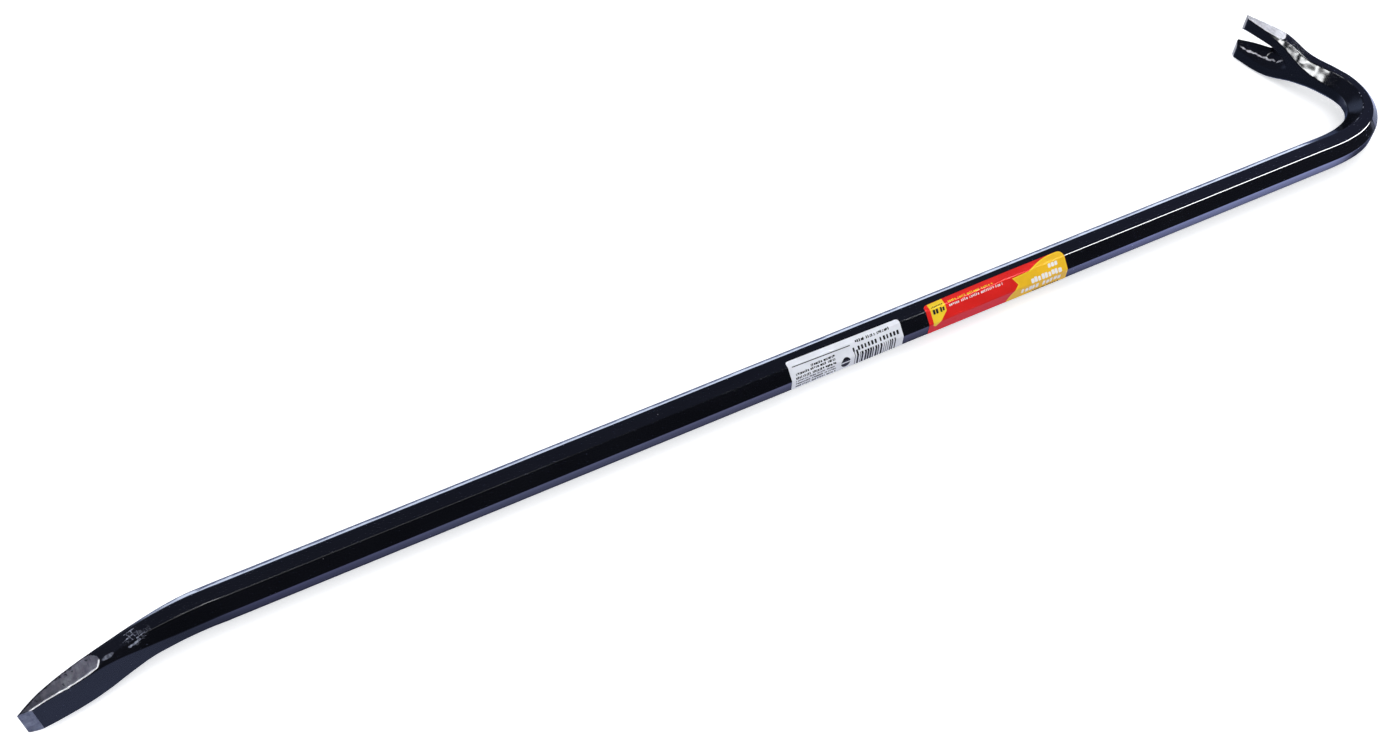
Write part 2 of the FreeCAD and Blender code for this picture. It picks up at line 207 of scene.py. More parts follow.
def half_ring(thick, wide, minus_cut, plus_cut, radii, slot=None):
    """Upper half of a section as (across, up, face number, edge), from the middle of the
    +across face round to the -across face, then down the slot. Edge is 1 on the middle of a
    rounded corner. Without a slot its points gather on the middle of the -across face."""
    inner_half, outer_half, depth, through = slot or (0.0, 0.0, 0.0, False)
    plus, minus = thick / 2, -thick / 2
    corners = [(plus, outer_half if through else 0.0),
               (plus, wide / 2 - plus_cut), (plus - plus_cut, wide / 2),
               (minus + minus_cut, wide / 2), (minus, wide / 2 - minus_cut),
               (minus, inner_half)]
    ring = []
    start = corners[0]
    for k in range(4):
        before, corner, after = corners[k:k + 3]
        # the first and last faces carry on into the lower half, so they count double
        run_in = math.dist(before, corner) * (2 if k == 0 else 1)
        run_out = math.dist(corner, after) * (2 if k == 3 else 1)
        limit = min(0.42 * run_in, 0.42 * run_out)
        rounded = round_corner(before, corner, after, radii[k], limit)
        for j in range(0 if k == 0 else 1, FLAT_STEPS[k]):
            ring.append((*lerp(start, rounded[0], j / FLAT_STEPS[k]), k, 0.0))
        for j, point in enumerate(rounded):
            f = j / ARC_STEPS
            face = k + (0 if j == 0 else 1 if j == ARC_STEPS else 0.5)
            ring.append((*point, face, 1 - abs(2 * f - 1)))
        start = rounded[-1]

    lip = 0.55 if inner_half > 1.2 else 0.0
    end = (minus, inner_half + lip)
    for j in range(1, LAST_FACE_STEPS + 1):
        ring.append((*lerp(start, end, j / LAST_FACE_STEPS), 4, 0.0))
    if not slot:
        return ring + [(minus, 0.0, 4, 0.0)] * (LIP_STEPS + WALL_STEPS + FLOOR_STEPS)

    wall_top, wall_foot = (minus, inner_half), (minus + depth, outer_half)
    u = unit(wall_top, wall_foot)
    lip_run = min(lip, math.dist(wall_top, wall_foot) * 0.3)
    wall_start = (wall_top[0] + u[0] * lip_run, wall_top[1] + u[1] * lip_run)
    for j in range(1, LIP_STEPS + 1):           # soft lip: quadratic curve over the corner
        t = j / LIP_STEPS
        point = lerp(lerp(end, wall_top, t), lerp(wall_top, wall_start, t), t)
        ring.append((*point, 4.5 if j < LIP_STEPS else SLOT_WALL, 1 - abs(2 * t - 1)))
    for j in range(1, WALL_STEPS + 1):
        ring.append((*lerp(wall_start, wall_foot, j / WALL_STEPS), SLOT_WALL, 0.0))
    floor_end = (wall_foot[0], outer_half if through else 0.0)
    for j in range(1, FLOOR_STEPS + 1):
        ring.append((*lerp(wall_foot, floor_end, j / FLOOR_STEPS), SLOT_FLOOR, 0.0))
    return ring


def trim_ring(ring, low, high):
    """Flattens whatever lies outside low..high onto the bevel, no higher than the cut."""
    cut_height = math.inf
    for p, q in zip(ring, ring[1:]):
        if p[0] > high >= q[0]:
            limit = high
        elif p[0] >= low > q[0]:
            limit = low
        else:
            continue
        cut_height = p[1] + (q[1] - p[1]) * (p[0] - limit) / (p[0] - q[0])
        break
    return [point if low <= point[0] <= high
            else (min(max(point[0], low), high), min(point[1], cut_height), BEVEL, 0.0)
            for point in ring]


slot_inner, slot_outer = curve_through(SLOT_INNER), curve_through(SLOT_OUTER)


def claw_slot(from_tip, thick):
    """(inner half width, outer half width, depth, goes through) of the slot, or None."""
    if from_tip >= SLOT_LENGTH - 1e-6:
        return None
    inner, outer = slot_inner(from_tip), slot_outer(from_tip)
    inner *= math.sqrt(1 - (from_tip / SLOT_LENGTH) ** 40)
    if from_tip < SLOT_THROUGH - 1e-6:
        outer *= math.sqrt(1 - (from_tip / SLOT_THROUGH) ** 14)
        return inner, outer, thick, True
    past = from_tip - SLOT_THROUGH
    depth = thick - (thick - 0.6) * (past / (SLOT_LENGTH - SLOT_THROUGH)) ** 1.25
    outer = 0.0 if from_tip < SLOT_THROUGH + 0.01 else min(outer, 0.05 + past * 0.5)
    return inner, outer, depth, False


class End:
    """One forged end. Turn is +1 where the bend is anticlockwise as one leaves the shank and
    the outside of the bend is +across; -1 where the outside is -across."""

    def __init__(self, start_x, start_arc, turn, tables, tip, slot=None):
        self.start_arc = start_arc
        self.turn = turn
        self.tip = tip
        self.slot = slot
        self.length = tip.length
        for name, table in tables.items():
            setattr(self, name, curve_through(table))
        self.trace_path(start_x)
        self.place_bevel()

    def trace_path(self, x):
        """Centre line: the headings added up in steps of about 0.1 mm."""
        self.count = int(round(self.length / 0.1))
        self.step = self.length / self.count
        y = 0.0
        self.path = [(x, y, math.radians(self.heading(0)))]
        for i in range(self.count):
            angle = math.radians(self.heading((i + 0.5) * self.step))
            x += math.cos(angle) * self.step
            y += math.sin(angle) * self.step
            self.path.append((x, y, math.radians(self.heading((i + 1) * self.step))))

    def at(self, s):
        f = min(s / self.step, self.count - 1e-9)
        i = int(f)
        p, q = self.path[i], self.path[i + 1]
        return tuple(p[k] + (q[k] - p[k]) * (f - i) for k in range(3))

    def place_bevel(self):
        """The bevel seen from above: a line from the inside face to the tip's edge."""
        x, y, angle = self.at(self.length)
        out = self.thickness(self.length) / 2 - self.tip.edge_left
        edge = (x + math.sin(angle) * out, y - math.cos(angle) * out)
        s = self.length - self.tip.bevel_run
        x, y, angle = self.at(s)
        thick = self.thickness(s)
        self.bevel_start = (x - math.sin(angle) * thick / 2, y + math.cos(angle) * thick / 2)
        self.bevel_vector = (edge[0] - self.bevel_start[0], edge[1] - self.bevel_start[1])

    def bevel_offset(self, s):
        """How far the bevel stands from the centre line, positive to the outside."""
        x, y, angle = self.at(s)
        dx, dy = self.bevel_vector
        mx, my = math.sin(angle), -math.cos(angle)
        bx, by = self.bevel_start
        return ((bx - x) * dy - (by - y) * dx) / (mx * dy - my * dx)

    def section(self, s):
        thick, wide = self.thickness(s), self.width(s)
        cuts = (self.inner_cut(s), self.outer_cut(s))[::self.turn]
        x, y, angle = self.at(s)
        across = (self.turn * math.sin(angle), -self.turn * math.cos(angle))
        radii = [self.edge_radius(s)] * 4
        soft = min(1.0, max(0.0, (s - self.tip.soft_start) / 14))
        inner_corner = 2 if self.turn > 0 else 1
        radii[inner_corner] = max(radii[0], self.tip.soft_radius * soft)
        slot = self.slot(self.length - s, thick) if self.slot else None
        ring = half_ring(thick, wide, *cuts, radii, slot)
        if s > self.length - self.tip.bevel_run:
            offset = self.bevel_offset(s)
            if self.turn > 0:
                ring = trim_ring(ring, low=offset, high=math.inf)
            else:
                ring = trim_ring(ring, low=-math.inf, high=-offset)

        def ground(a, up, face):
            return self.ground_depth(s, thick, wide, a, up, face)
        return Section(x, y, across, ring, self.start_arc + self.turn * s, 1.0 + self.turn,
                       ground)

    def ground_depth(self, s, thick, wide, across, up, face):
        """Signed distance into the bare ground steel."""
        tip = self.tip
        from_tip = self.length - s
        outward = self.turn * across
        curved = (across + thick / 2) / thick * 2 - 1
        margin = tip.inner_margin if outward < 0 else tip.outer_margin
        along = s - (tip.ground_start + tip.ground_bow * curved * curved)
        depth = soft_min(margin - (wide / 2 - abs(up)), along, tip.ground_blend)
        depth = max(NOT_GROUND, depth)
        if depth > -4:
            depth = soft_min(depth, (thick / 2 - outward) - tip.outer_rim, 0.4)
        if face == BEVEL or from_tip < 0.01:
            depth = max(depth, tip.bevel_bare - from_tip)
        return depth


def shank_section(s):
    ring = half_ring(FLATS, FLATS, CORNER_CUT, CORNER_CUT, (EDGE_RADIUS,) * 4)
    return Section(SHANK_X0 + s, 0.0, (0.0, -1.0), ring, s, 1.0, lambda *_: NOT_GROUND)


def spaced(start, end, step):
    n = max(1, int(round((end - start) / step)))
    return [start + (end - start) * i / n for i in range(n + 1)]


def merged(values):
    """Sorted values without near repeats."""
    out = []
    for x in sorted(values):
        if not out or x - out[-1] > 0.02:
            out.append(x)
    return out


def chisel_stations():
    length, bevel = CHISEL_TIP.length, CHISEL_TIP.length - CHISEL_TIP.bevel_run
    return merged(spaced(0, bevel - 0.3, 1.1) + spaced(bevel - 0.25, bevel + 0.25, 0.12)
                  + spaced(bevel + 0.4, length, 0.6))


def hook_stations():
    length, run = HOOK_TIP.length, HOOK_TIP.bevel_run
    through = SLOT_THROUGH
    from_tip = (spaced(through + 0.35, SLOT_LENGTH, 0.6)
                + [through, through - 0.06, through - 0.2, through - 0.45]
                + spaced(run + 0.5, through - 0.8, 0.7)
                + spaced(run - 0.25, run + 0.25, 0.12)
                + spaced(0, run - 0.45, 0.55))
    return merged(spaced(0, 60, 1.2) + spaced(60, length - SLOT_LENGTH, 0.9)
                  + [length - u for u in from_tip])


def all_sections():
    hook = End(SHANK_X1, SHANK_LENGTH, 1, HOOK_TABLES, HOOK_TIP, claw_slot)
    chisel = End(SHANK_X0, 0.0, -1, CHISEL_TABLES, CHISEL_TIP)
    shank = spaced(SHANK_X0, SHANK_X1, 3.0)[1:-1]
    return ([chisel.section(s) for s in reversed(chisel_stations())]
            + [shank_section(x - SHANK_X0) for x in shank]
            + [hook.section(s) for s in hook_stations()])


# ============================================================================
# 3. The forging as one closed mesh
# ============================================================================
def distinct(indices):
    return list(dict.fromkeys(indices))


def face_outwards(bm):
    bmesh.ops.recalc_face_normals(bm, faces=bm.faces)
    if bm.calc_volume(signed=True) < 0:
        bmesh.ops.reverse_faces(bm, faces=bm.faces)


def add_attributes(mesh, columns):
    for name, values in columns:
        mesh.attributes.new(name, "FLOAT", "POINT").data.foreach_set("value", values)


def skin(rings):
    """Faces between neighbouring rings, then the two end caps."""
    faces = []
    for here, there in zip(rings, rings[1:]):
        for half in (0, 1):
            a, b = here[half], there[half]
            for j in range(len(a) - 1):
                quad = [a[j], a[j + 1], b[j + 1], b[j]]
                if half == 1:
                    quad.reverse()
                faces.append(distinct(quad))
    for index, flip in ((0, True), (-1, False)):
        for half in (0, 1):
            cap = distinct(rings[index][half])
            if (half == 1) != flip:
                cap.reverse()
            faces.append(cap)
    return [face for face in faces if len(face) >= 3]


def push_out(vert, scale, offset, size):
    amount = noise.noise(vert.co / MM * scale + Vector(offset))
    vert.co += vert.normal * (amount * size * MM)


def roughen(bm):
    """Hammered unevenness: slight on the shank, more on the worked ends."""
    arcs, grounds, faces = (bm.verts.layers.float[name] for name in ("arc", "grd", "fid"))
    for vert in bm.verts:
        arc, face = vert[arcs], vert[faces]
        past_shank = arc - SHANK_LENGTH
        height = 0.014
        if arc < 20:
            height += 0.085 * min(1, (20 - arc) / 60)
        if past_shank > 0:
            height += 0.115 * min(1, past_shank / 50)
        if vert[grounds] > -0.6:
            height *= 0.25
        elif past_shank > 55:
            if 2.5 <= face <= 3.5:
                fade = min(1.0, (past_shank - 55) / 20)
                push_out(vert, scale=0.20, offset=(3.1, 0.4, 9.0), size=0.16 * fade)
            elif 4.6 <= face <= 5.0:
                push_out(vert, scale=0.27, offset=(1.1, 5.4, 2.0), size=0.12)
        p = vert.co / MM
        broad = noise.noise(Vector([c * 0.085 for c in p]))
        fine = noise.noise(p * 0.21 + Vector((7, 3, 1)))
        vert.co += vert.normal * ((broad + fine * 0.45) * height * MM)


def forging_mesh():
    positions, values, rings = [], [], []
    for section in all_sections():
        known = {}
        halves = []
        for side in (1, -1):
            row = []
            for across, half_up, face, edge in section.ring:
                up = side * half_up
                key = (round(across, 4), round(up, 4))
                if key not in known:
                    known[key] = len(positions)
                    positions.append(((section.x + section.across[0] * across) * MM,
                                      (section.y + section.across[1] * across) * MM,
                                      (MID_Z + up) * MM))
                    values.append((section.arc, float(face), edge, across, up,
                                   section.ground(across, up, face), section.kind))
                row.append(known[key])
            halves.append(row)
        rings.append(halves)
    mesh = bpy.data.meshes.new("bar_forging")
    mesh.from_pydata(positions, [], skin(rings))
    names = ("arc", "fid", "edge", "la", "lb", "grd", "kind")
    add_attributes(mesh, zip(names, zip(*values)))
    bm = bmesh.new()
    bm.from_mesh(mesh)
    face_outwards(bm)
    bm.normal_update()
    roughen(bm)
    bm.to_mesh(mesh)
    bm.free()
    return mesh


def add_object(mesh):
    obj = bpy.data.objects.new(mesh.name, mesh)
    scene.collection.objects.link(obj)
    return obj


def add_piece(mesh, material, sharp_degrees, replaces=None, normal_weight=50):
    mesh.shade_smooth()
    mesh.set_sharp_from_angle(angle=math.radians(sharp_degrees))
    mesh.materials.append(material)
    obj = add_object(mesh)
    modifier = obj.modifiers.new("wn", "WEIGHTED_NORMAL")
    modifier.keep_sharp = True
    modifier.weight = normal_weight
    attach(obj, "root")
    if replaces:
        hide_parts(replaces)


# ============================================================================
# 4. Shader helpers
# ============================================================================
class Signal:
    """A node output. Arithmetic on it adds Math nodes."""

    def __init__(self, nodes, socket):
        self.nodes = nodes
        self.socket = socket

    def __add__(self, other):
        return self.nodes.math("ADD", self, other)

    def __sub__(self, other):
        return self.nodes.math("SUBTRACT", self, other)

    def __rsub__(self, other):
        return self.nodes.math("SUBTRACT", other, self)

    def __mul__(self, other):
        return self.nodes.math("MULTIPLY", self, other)

    def __gt__(self, other):
        return self.nodes.math("GREATER_THAN", self, other)

    def __lt__(self, other):
        return self.nodes.math("LESS_THAN", self, other)

    def __abs__(self):
        return self.nodes.math("ABSOLUTE", self)

    def max(self, other):
        return self.nodes.math("MAXIMUM", self, other)

    def min(self, other):
        return self.nodes.math("MINIMUM", self, other)

    def remap(self, start, end, low=0.0, high=1.0, kind="LINEAR"):
        inputs = {"Value": self, "From Min": start, "From Max": end,
                  "To Min": low, "To Max": high}
        return self.nodes.add("ShaderNodeMapRange", inputs, interpolation_type=kind)

    def rise(self, start, end):
        """Smoothly from 0 at start to 1 at end."""
        return self.remap(start, end, kind="SMOOTHSTEP")

    def fall(self, start, end):
        """Smoothly from 1 at start to 0 at end."""
        return 1.0 - self.rise(start, end)

    def band(self, rise, fall):
        return self.rise(*rise) * self.fall(*fall)

    def between(self, low, high):
        return (self > low) * (self < high)


def rgba(colour):
    if isinstance(colour, (int, float)):
        return (colour, colour, colour, 1)
    return (*colour, 1)


class Nodes:
    """Builds one node tree."""

    def __init__(self, tree):
        self.tree = tree
        tree.nodes.clear()

    def new(self, kind, inputs=None, **settings):
        node = self.tree.nodes.new(kind)
        for name, value in settings.items():
            setattr(node, name, value)
        for key, value in (inputs or {}).items():
            socket = node.inputs[key]
            if isinstance(value, Signal):
                self.tree.links.new(value.socket, socket)
            elif value is not None:
                socket.default_value = rgba(value) if socket.type == "RGBA" else value
        return node

    def add(self, kind, inputs=None, output=0, **settings):
        return Signal(self, self.new(kind, inputs, **settings).outputs[output])

    def several(self, kind, outputs, inputs=None):
        node = self.new(kind, inputs)
        return [Signal(self, node.outputs[output]) for output in outputs]

    def math(self, operation, a, b=None):
        return self.add("ShaderNodeMath", {0: a, 1: b}, operation=operation)

    def vector_math(self, operation, a, b):
        return self.add("ShaderNodeVectorMath", {0: a, 1: b}, operation=operation)

    def scaled(self, vector, amount):
        return self.add("ShaderNodeVectorMath", {0: vector, "Scale": amount},
                        operation="SCALE")

    def light(self, colour, amount):
        """A fixed colour times an amount."""
        return self.scaled(self.mix(0.0, colour, (0, 0, 0)), amount)

    def attribute(self, name):
        return self.add("ShaderNodeAttribute", output="Fac", attribute_name=name)

    def coordinates(self, output="Object"):
        return self.add("ShaderNodeTexCoord", output=output)

    def mapping(self, vector, scale=(1, 1, 1), rotation=(0, 0, 0), location=(0, 0, 0)):
        return self.add("ShaderNodeMapping", {0: vector, "Scale": scale,
                                              "Rotation": rotation, "Location": location})

    def noise(self, vector, scale, detail=2.0, rough=0.5):
        inputs = {"Vector": vector, "Scale": scale, "Detail": detail, "Roughness": rough}
        return self.add("ShaderNodeTexNoise", inputs, "Fac")

    def voronoi(self, vector, scale):
        return self.add("ShaderNodeTexVoronoi", {"Vector": vector, "Scale": scale},
                        "Distance")

    def ramp(self, factor, stops):
        """Stops are (position, colour or grey)."""
        node = self.new("ShaderNodeValToRGB", {0: factor})
        elements = node.color_ramp.elements
        elements.remove(elements[-1])
        elements[0].position = stops[0][0]
        elements[0].color = rgba(stops[0][1])
        for position, colour in stops[1:]:
            elements.new(position).color = rgba(colour)
        return Signal(self, node.outputs[0])

    def mix(self, factor, a, b, blend="MIX"):
        return self.add("ShaderNodeMix", {0: factor, 6: a, 7: b}, 2,
                        data_type="RGBA", blend_type=blend)

    def multiplied(self, colour, by):
        return self.mix(1.0, colour, by, blend="MULTIPLY")

    def mix_value(self, factor, a, b):
        return self.add("ShaderNodeMix", {0: factor, 2: a, 3: b}, data_type="FLOAT")

    def bump(self, height, strength):
        inputs = {"Strength": strength, "Distance": 0.001, "Height": height}
        return self.add("ShaderNodeBump", inputs)

    def principled(self, colour, rough, specular, normal, metallic=None):
        return self.add("ShaderNodeBsdfPrincipled", {
            "Base Color": colour, "Roughness": rough, "Specular IOR Level": specular,
            "Normal": normal, "Metallic": metallic})

    def mix_shader(self, factor, a, b):
        return self.add("ShaderNodeMixShader", {0: factor, 1: a, 2: b})

    def finish(self, shader, output_kind="ShaderNodeOutputMaterial"):
        self.new(output_kind, {"Surface": shader})


def new_material(name):
    material = bpy.data.materials.new(name)
    material.use_nodes = True
    return material, Nodes(material.node_tree)


# ============================================================================
# 5. Paint and ground steel
# ============================================================================
def black_paint(n, at):
    """Deep black with a faint navy cast, orange peel, fine scratches, dust and specks."""
    peel = n.noise(at.place, scale=420, detail=3, rough=0.55)
    wave = n.noise(at.place, scale=95)
    patches = n.noise(at.place, scale=22)
    streaks = n.mapping(at.place, scale=(14, 260, 260))
    scratch = n.noise(streaks, scale=6, detail=4, rough=0.7).rise(start=0.66, end=0.74)
    dust = n.noise(at.place, scale=900, detail=1).rise(start=0.80, end=0.84)
    speck = (n.voronoi(at.place, scale=150).fall(start=0.03, end=0.07)
             * n.noise(at.place, scale=60, detail=1).rise(start=0.63, end=0.66))
    colour = n.mix(patches.rise(start=0.3, end=0.7),
                   (0.0024, 0.0026, 0.0040), (0.0036, 0.0039, 0.0060))
    colour = n.mix(speck * 0.55, colour, (0.16, 0.16, 0.18))
    colour = n.mix(dust * 0.10, colour, (0.22, 0.22, 0.25))
    rough = wave.remap(start=0.3, end=0.75, low=0.085, high=0.17)
    rough = rough + scratch * 0.12 + dust * 0.25
    # the back diagonal of the shank is smoother than the worked ends
    calm = at.face.between(low=2.4, high=3.6) * at.arc.band(rise=(-35, -15), fall=(735, 755))
    rough = rough * (1.0 - calm * 0.62)
    height = peel * 0.012 + wave * 0.10 - scratch * 0.006
    return n.principled(colour, rough, specular=0.5, normal=n.bump(height, strength=0.30))


def ground_steel(n, at):
    """Grinder marks, dark pits and a painted highlight line along the chisel's front edge.
    Returns the shader and its bumped normal.
    """
    grain = n.noise(n.mapping(at.place, scale=(60, 60, 900)), scale=3, detail=5, rough=0.65)
    mottle = n.noise(at.place, scale=230, detail=4, rough=0.6)
    cloud = n.noise(at.place, scale=70, detail=3, rough=0.6)
    fine_pits = n.noise(at.place, scale=330).rise(start=0.66, end=0.72)
    pit_area = n.noise(n.mapping(at.place, location=(0.3, 0.2, 0.7)), scale=55, detail=1)
    round_pits = (n.voronoi(at.place, scale=190).fall(start=0.12, end=0.22)
                  * pit_area.rise(start=0.56, end=0.62))
    pits = fine_pits.max(round_pits)

    colour = n.ramp(mottle, [(0.30, (0.120, 0.117, 0.132)), (0.50, (0.185, 0.180, 0.205)),
                             (0.72, (0.26, 0.255, 0.285))])
    bevel_colour = n.ramp(mottle, [(0.30, (0.22, 0.225, 0.25)), (0.72, (0.50, 0.505, 0.54))])
    colour = n.mix(at.face > 6.5, colour, bevel_colour)
    colour = n.mix(cloud.rise(start=0.35, end=0.7),
                   n.multiplied(colour, (0.74, 0.74, 0.78)), colour)
    # the chisel darkens towards its tip, except on the bevel; the claw is brighter
    chisel_tip = (at.arc * -1.0).rise(start=72, end=104)
    off_bevel = at.face < 6.5
    colour = n.mix(chisel_tip * off_bevel * 0.75, colour,
                   n.multiplied(colour, (0.42, 0.42, 0.42)))
    on_hook = at.kind.rise(start=1.4, end=1.6)
    claw_colour = n.ramp(mottle, [(0.30, (0.50, 0.50, 0.54)), (0.50, (0.66, 0.66, 0.70)),
                                  (0.70, (0.76, 0.76, 0.80))])
    colour = n.mix(on_hook, colour, claw_colour)
    colour = n.mix(pits * 0.8, colour, (0.025, 0.025, 0.03))
    line_place = n.mapping(at.place, scale=(900, 60, 60), rotation=(0, 0, 0.25))
    lines = n.noise(line_place, scale=1.2, detail=3, rough=0.6)
    colour = n.mix(lines.rise(start=0.52, end=0.66) * 0.35, colour,
                   n.multiplied(colour, (0.5, 0.5, 0.52)))
    rough = grain.remap(start=0.3, end=0.7, low=0.28, high=0.44) + pits * 0.3
    normal = n.bump(grain * 0.03 + mottle * 0.03 - pits * 0.06, strength=0.5)

    # painted highlight: a bright line painted where the chisel's ground side meets the front
    # face, in place of the light its rounded edge catches
    ragged = n.noise(at.place, scale=380, rough=0.6)
    edge_highlight = (at.ground + (ragged - 0.5) * 0.35).fall(start=0.34, end=0.52)
    edge_highlight = edge_highlight * at.across.rise(start=1, end=2)
    edge_highlight = edge_highlight * (off_bevel * (at.arc < 0.0))
    colour = n.mix(edge_highlight, colour, (0.90, 0.90, 0.93))
    metallic = n.mix_value(edge_highlight, n.mix_value(on_hook, 0.75, 0.25), 0.15)
    return n.principled(colour, rough, specular=0.3, normal=normal, metallic=metallic), normal


def bare_steel_and_slot_glint_mask(n, at):
    """Where the paint is gone, at the ground tips and chipped edges, plus painted highlights:
    streaks of bare steel along the slot walls standing in for glints.
    """
    ragged = n.noise(at.place, scale=480, detail=3, rough=0.6)
    mask = (at.ground + (ragged - 0.5) * 0.55).rise(start=-0.05, end=0.10)
    # chips off the worked edges, more of them towards the tips
    chip_noise = n.noise(at.place, scale=260, detail=4, rough=0.65)
    near_tip = (at.arc * -1.0).rise(start=25, end=100).max(
        at.arc.rise(start=SHANK_LENGTH + 100, end=SHANK_LENGTH + 160))
    threshold = 0.80 - near_tip * 0.10
    chips = ((chip_noise - threshold).rise(start=0.0, end=0.02)
             * at.edge.rise(start=0.2, end=0.7))
    mask = mask.max(chips)
    # painted highlight: a thin broken line of bright bare steel along each wall of the slot,
    # standing in for a glint
    wiggle = n.noise(at.place, scale=210, detail=3, rough=0.6)
    slot_glint = abs(at.across + 1.25 + (wiggle - 0.5) * 3.2).fall(start=0.30, end=0.52)
    breaks = n.noise(n.mapping(at.place, location=(0.2, 0.1, 0.4)), scale=260, rough=0.6)
    slot_glint = slot_glint * breaks.rise(start=0.36, end=0.42)
    slot_glint = (slot_glint * at.face.between(low=4.95, high=5.05)
              * at.arc.band(rise=(860, 866), fall=(891, 895)))
    return mask.max(slot_glint)


# Scratches on the upper side of the chisel's neck: start (arc, across), end (arc, across),
# half width.
MAIN_SCRATCH = (-52.0, 4.2, -45.5, 3.6, 0.40)
FAINT_SCRATCHES = [
    (-46.5, 2.6, -42.0, 1.9, 0.30), (-49.6, -2.0, -48.6, 2.2, 0.26),
    (-47.2, -2.8, -46.6, 1.2, 0.22), (-44.6, -1.4, -44.9, 2.2, 0.24),
    (-53.5, 1.0, -47.0, -0.6, 0.22), (-51.0, -2.6, -45.0, -3.3, 0.20)]


def scuff_and_glint_mask(n, at, scuff_grain):
    """Rubbed patches and scratches on the chisel's neck, and painted highlight glints along the
    hook's bend.
    """
    wobble = n.noise(at.place, scale=700, rough=0.6)

    def patch(arc, arc_radius, across, across_radius):
        u = (at.arc - arc) * (1.0 / arc_radius)
        v = (at.across - across) * (1.0 / across_radius)
        return (u * u + v * v).fall(start=0.5, end=1.1) * at.up.rise(start=6.0, end=7.5)

    def scratch(arc0, across0, arc1, across1, width):
        run, rise = arc1 - arc0, across1 - across0
        square = run * run + rise * rise
        t = (at.arc - arc0) * (run / square) + (at.across - across0) * (rise / square)
        t = t.max(0.0).min(1.0)
        u = at.arc - (t * run + arc0)
        v = at.across - (t * rise + across0)
        distance = n.math("SQRT", u * u + v * v) + (wobble - 0.5) * 0.9
        return distance.fall(start=width * 0.6, end=width * 1.3)

    neck = (patch(arc=-46.5, arc_radius=9.0, across=1.0, across_radius=4.4)
            * scuff_grain.rise(start=0.56, end=0.62))
    beside_ground = (patch(arc=-63.2, arc_radius=3.6, across=2.9, across_radius=1.3)
                     * scuff_grain.rise(start=0.24, end=0.40))
    scratches = scratch(*MAIN_SCRATCH)
    for row in FAINT_SCRATCHES:
        scratches = scratches.max(scratch(*row) * 0.8)
    scratches = scratches * at.up.rise(start=5.0, end=6.5)
    scuffs_and_glints = (neck * 0.22).max(scratches.max(beside_ground * 0.55))

    # painted highlight: broken glints painted on the rounded corner between side and inside
    # diagonal
    broken = n.noise(n.mapping(at.place, location=(0.5, 0.3, 0.1)), scale=330, rough=0.6)
    glints = at.edge.rise(start=0.35, end=0.8) * at.face.between(low=2.2, high=2.8)
    glints = glints * broken.rise(start=0.55, end=0.59)
    glints = glints * at.arc.band(rise=(764, 772), fall=(812, 822))
    return scuffs_and_glints.max(glints * 0.6)


def bar_material():
    material, n = new_material("gloss_black_paint_and_ground_steel")
    at = SimpleNamespace(
        place=n.coordinates(), ground=n.attribute("grd"), arc=n.attribute("arc"),
        edge=n.attribute("edge"), kind=n.attribute("kind"), face=n.attribute("fid"),
        across=n.attribute("la"), up=n.attribute("lb"))
    paint = black_paint(n, at)
    steel, steel_normal = ground_steel(n, at)
    # bare steel at the tips and chips, and the painted highlight lines in the slot
    mask = bare_steel_and_slot_glint_mask(n, at)
    scuff_place = n.mapping(at.place, scale=(190, 520, 520), rotation=(0, 0, 0.6))
    scuffs_and_glints = scuff_and_glint_mask(n, at, n.noise(scuff_place, scale=1.4, detail=2.5, rough=0.6))
    # grey rub marks for the scuff patches, and the painted highlight glints on the hook's bend
    # drawn with the same grey
    rub_and_glint_place = n.mapping(at.place, scale=(620, 170, 300), rotation=(0, 0, -0.4))
    rub_and_glint_grain = n.noise(rub_and_glint_place, scale=1.1, rough=0.6)
    rub_and_glint_colour = n.mix(rub_and_glint_grain.rise(start=0.4, end=0.6),
                       (0.085, 0.092, 0.125), (0.24, 0.26, 0.33))
    rub_and_glint_shader = n.principled(rub_and_glint_colour, rough=0.45, specular=0.3, normal=steel_normal)
    n.finish(n.mix_shader(mask, n.mix_shader(scuffs_and_glints, paint, rub_and_glint_shader), steel))
    return material


add_piece(forging_mesh(), bar_material(), sharp_degrees=38,
          replaces="bar", normal_weight=60)

# ============================================================================
# 6. Labels: closed thin sheets wrapped round the shank, with raised ink
# ============================================================================
# Drawings use x along the shank and girth round it, zero at the front edge of the top flat
# and growing down the front.
LABEL_ORIGIN = 61.95                        # drawing x at world x = 0
LABEL_THICK = 0.15
INK_BASE = LABEL_THICK - 0.01               # ink starts just inside its sheet
INK_LOW = LABEL_THICK + 0.015
INK_HIGH = LABEL_THICK + 0.04

EDGE_TANGENT = EDGE_RADIUS * math.tan(math.pi / 8)
# The octagon's front corners from the top down as (y, z), their girths, and face normals.
OCTAGON = [(-HALF_FLAT, FLATS), (-MID_Z, MID_Z + HALF_FLAT), (-MID_Z, MID_Z - HALF_FLAT),
           (-HALF_FLAT, 0.0)]
CORNER_GIRTH = [2 * k * HALF_FLAT for k in range(4)]
NORMAL_ANGLE = [math.radians(90 + 45 * k) for k in range(5)]
LABEL_FOOT = CORNER_GIRTH[2] + 7.0          # lower edge of both labels


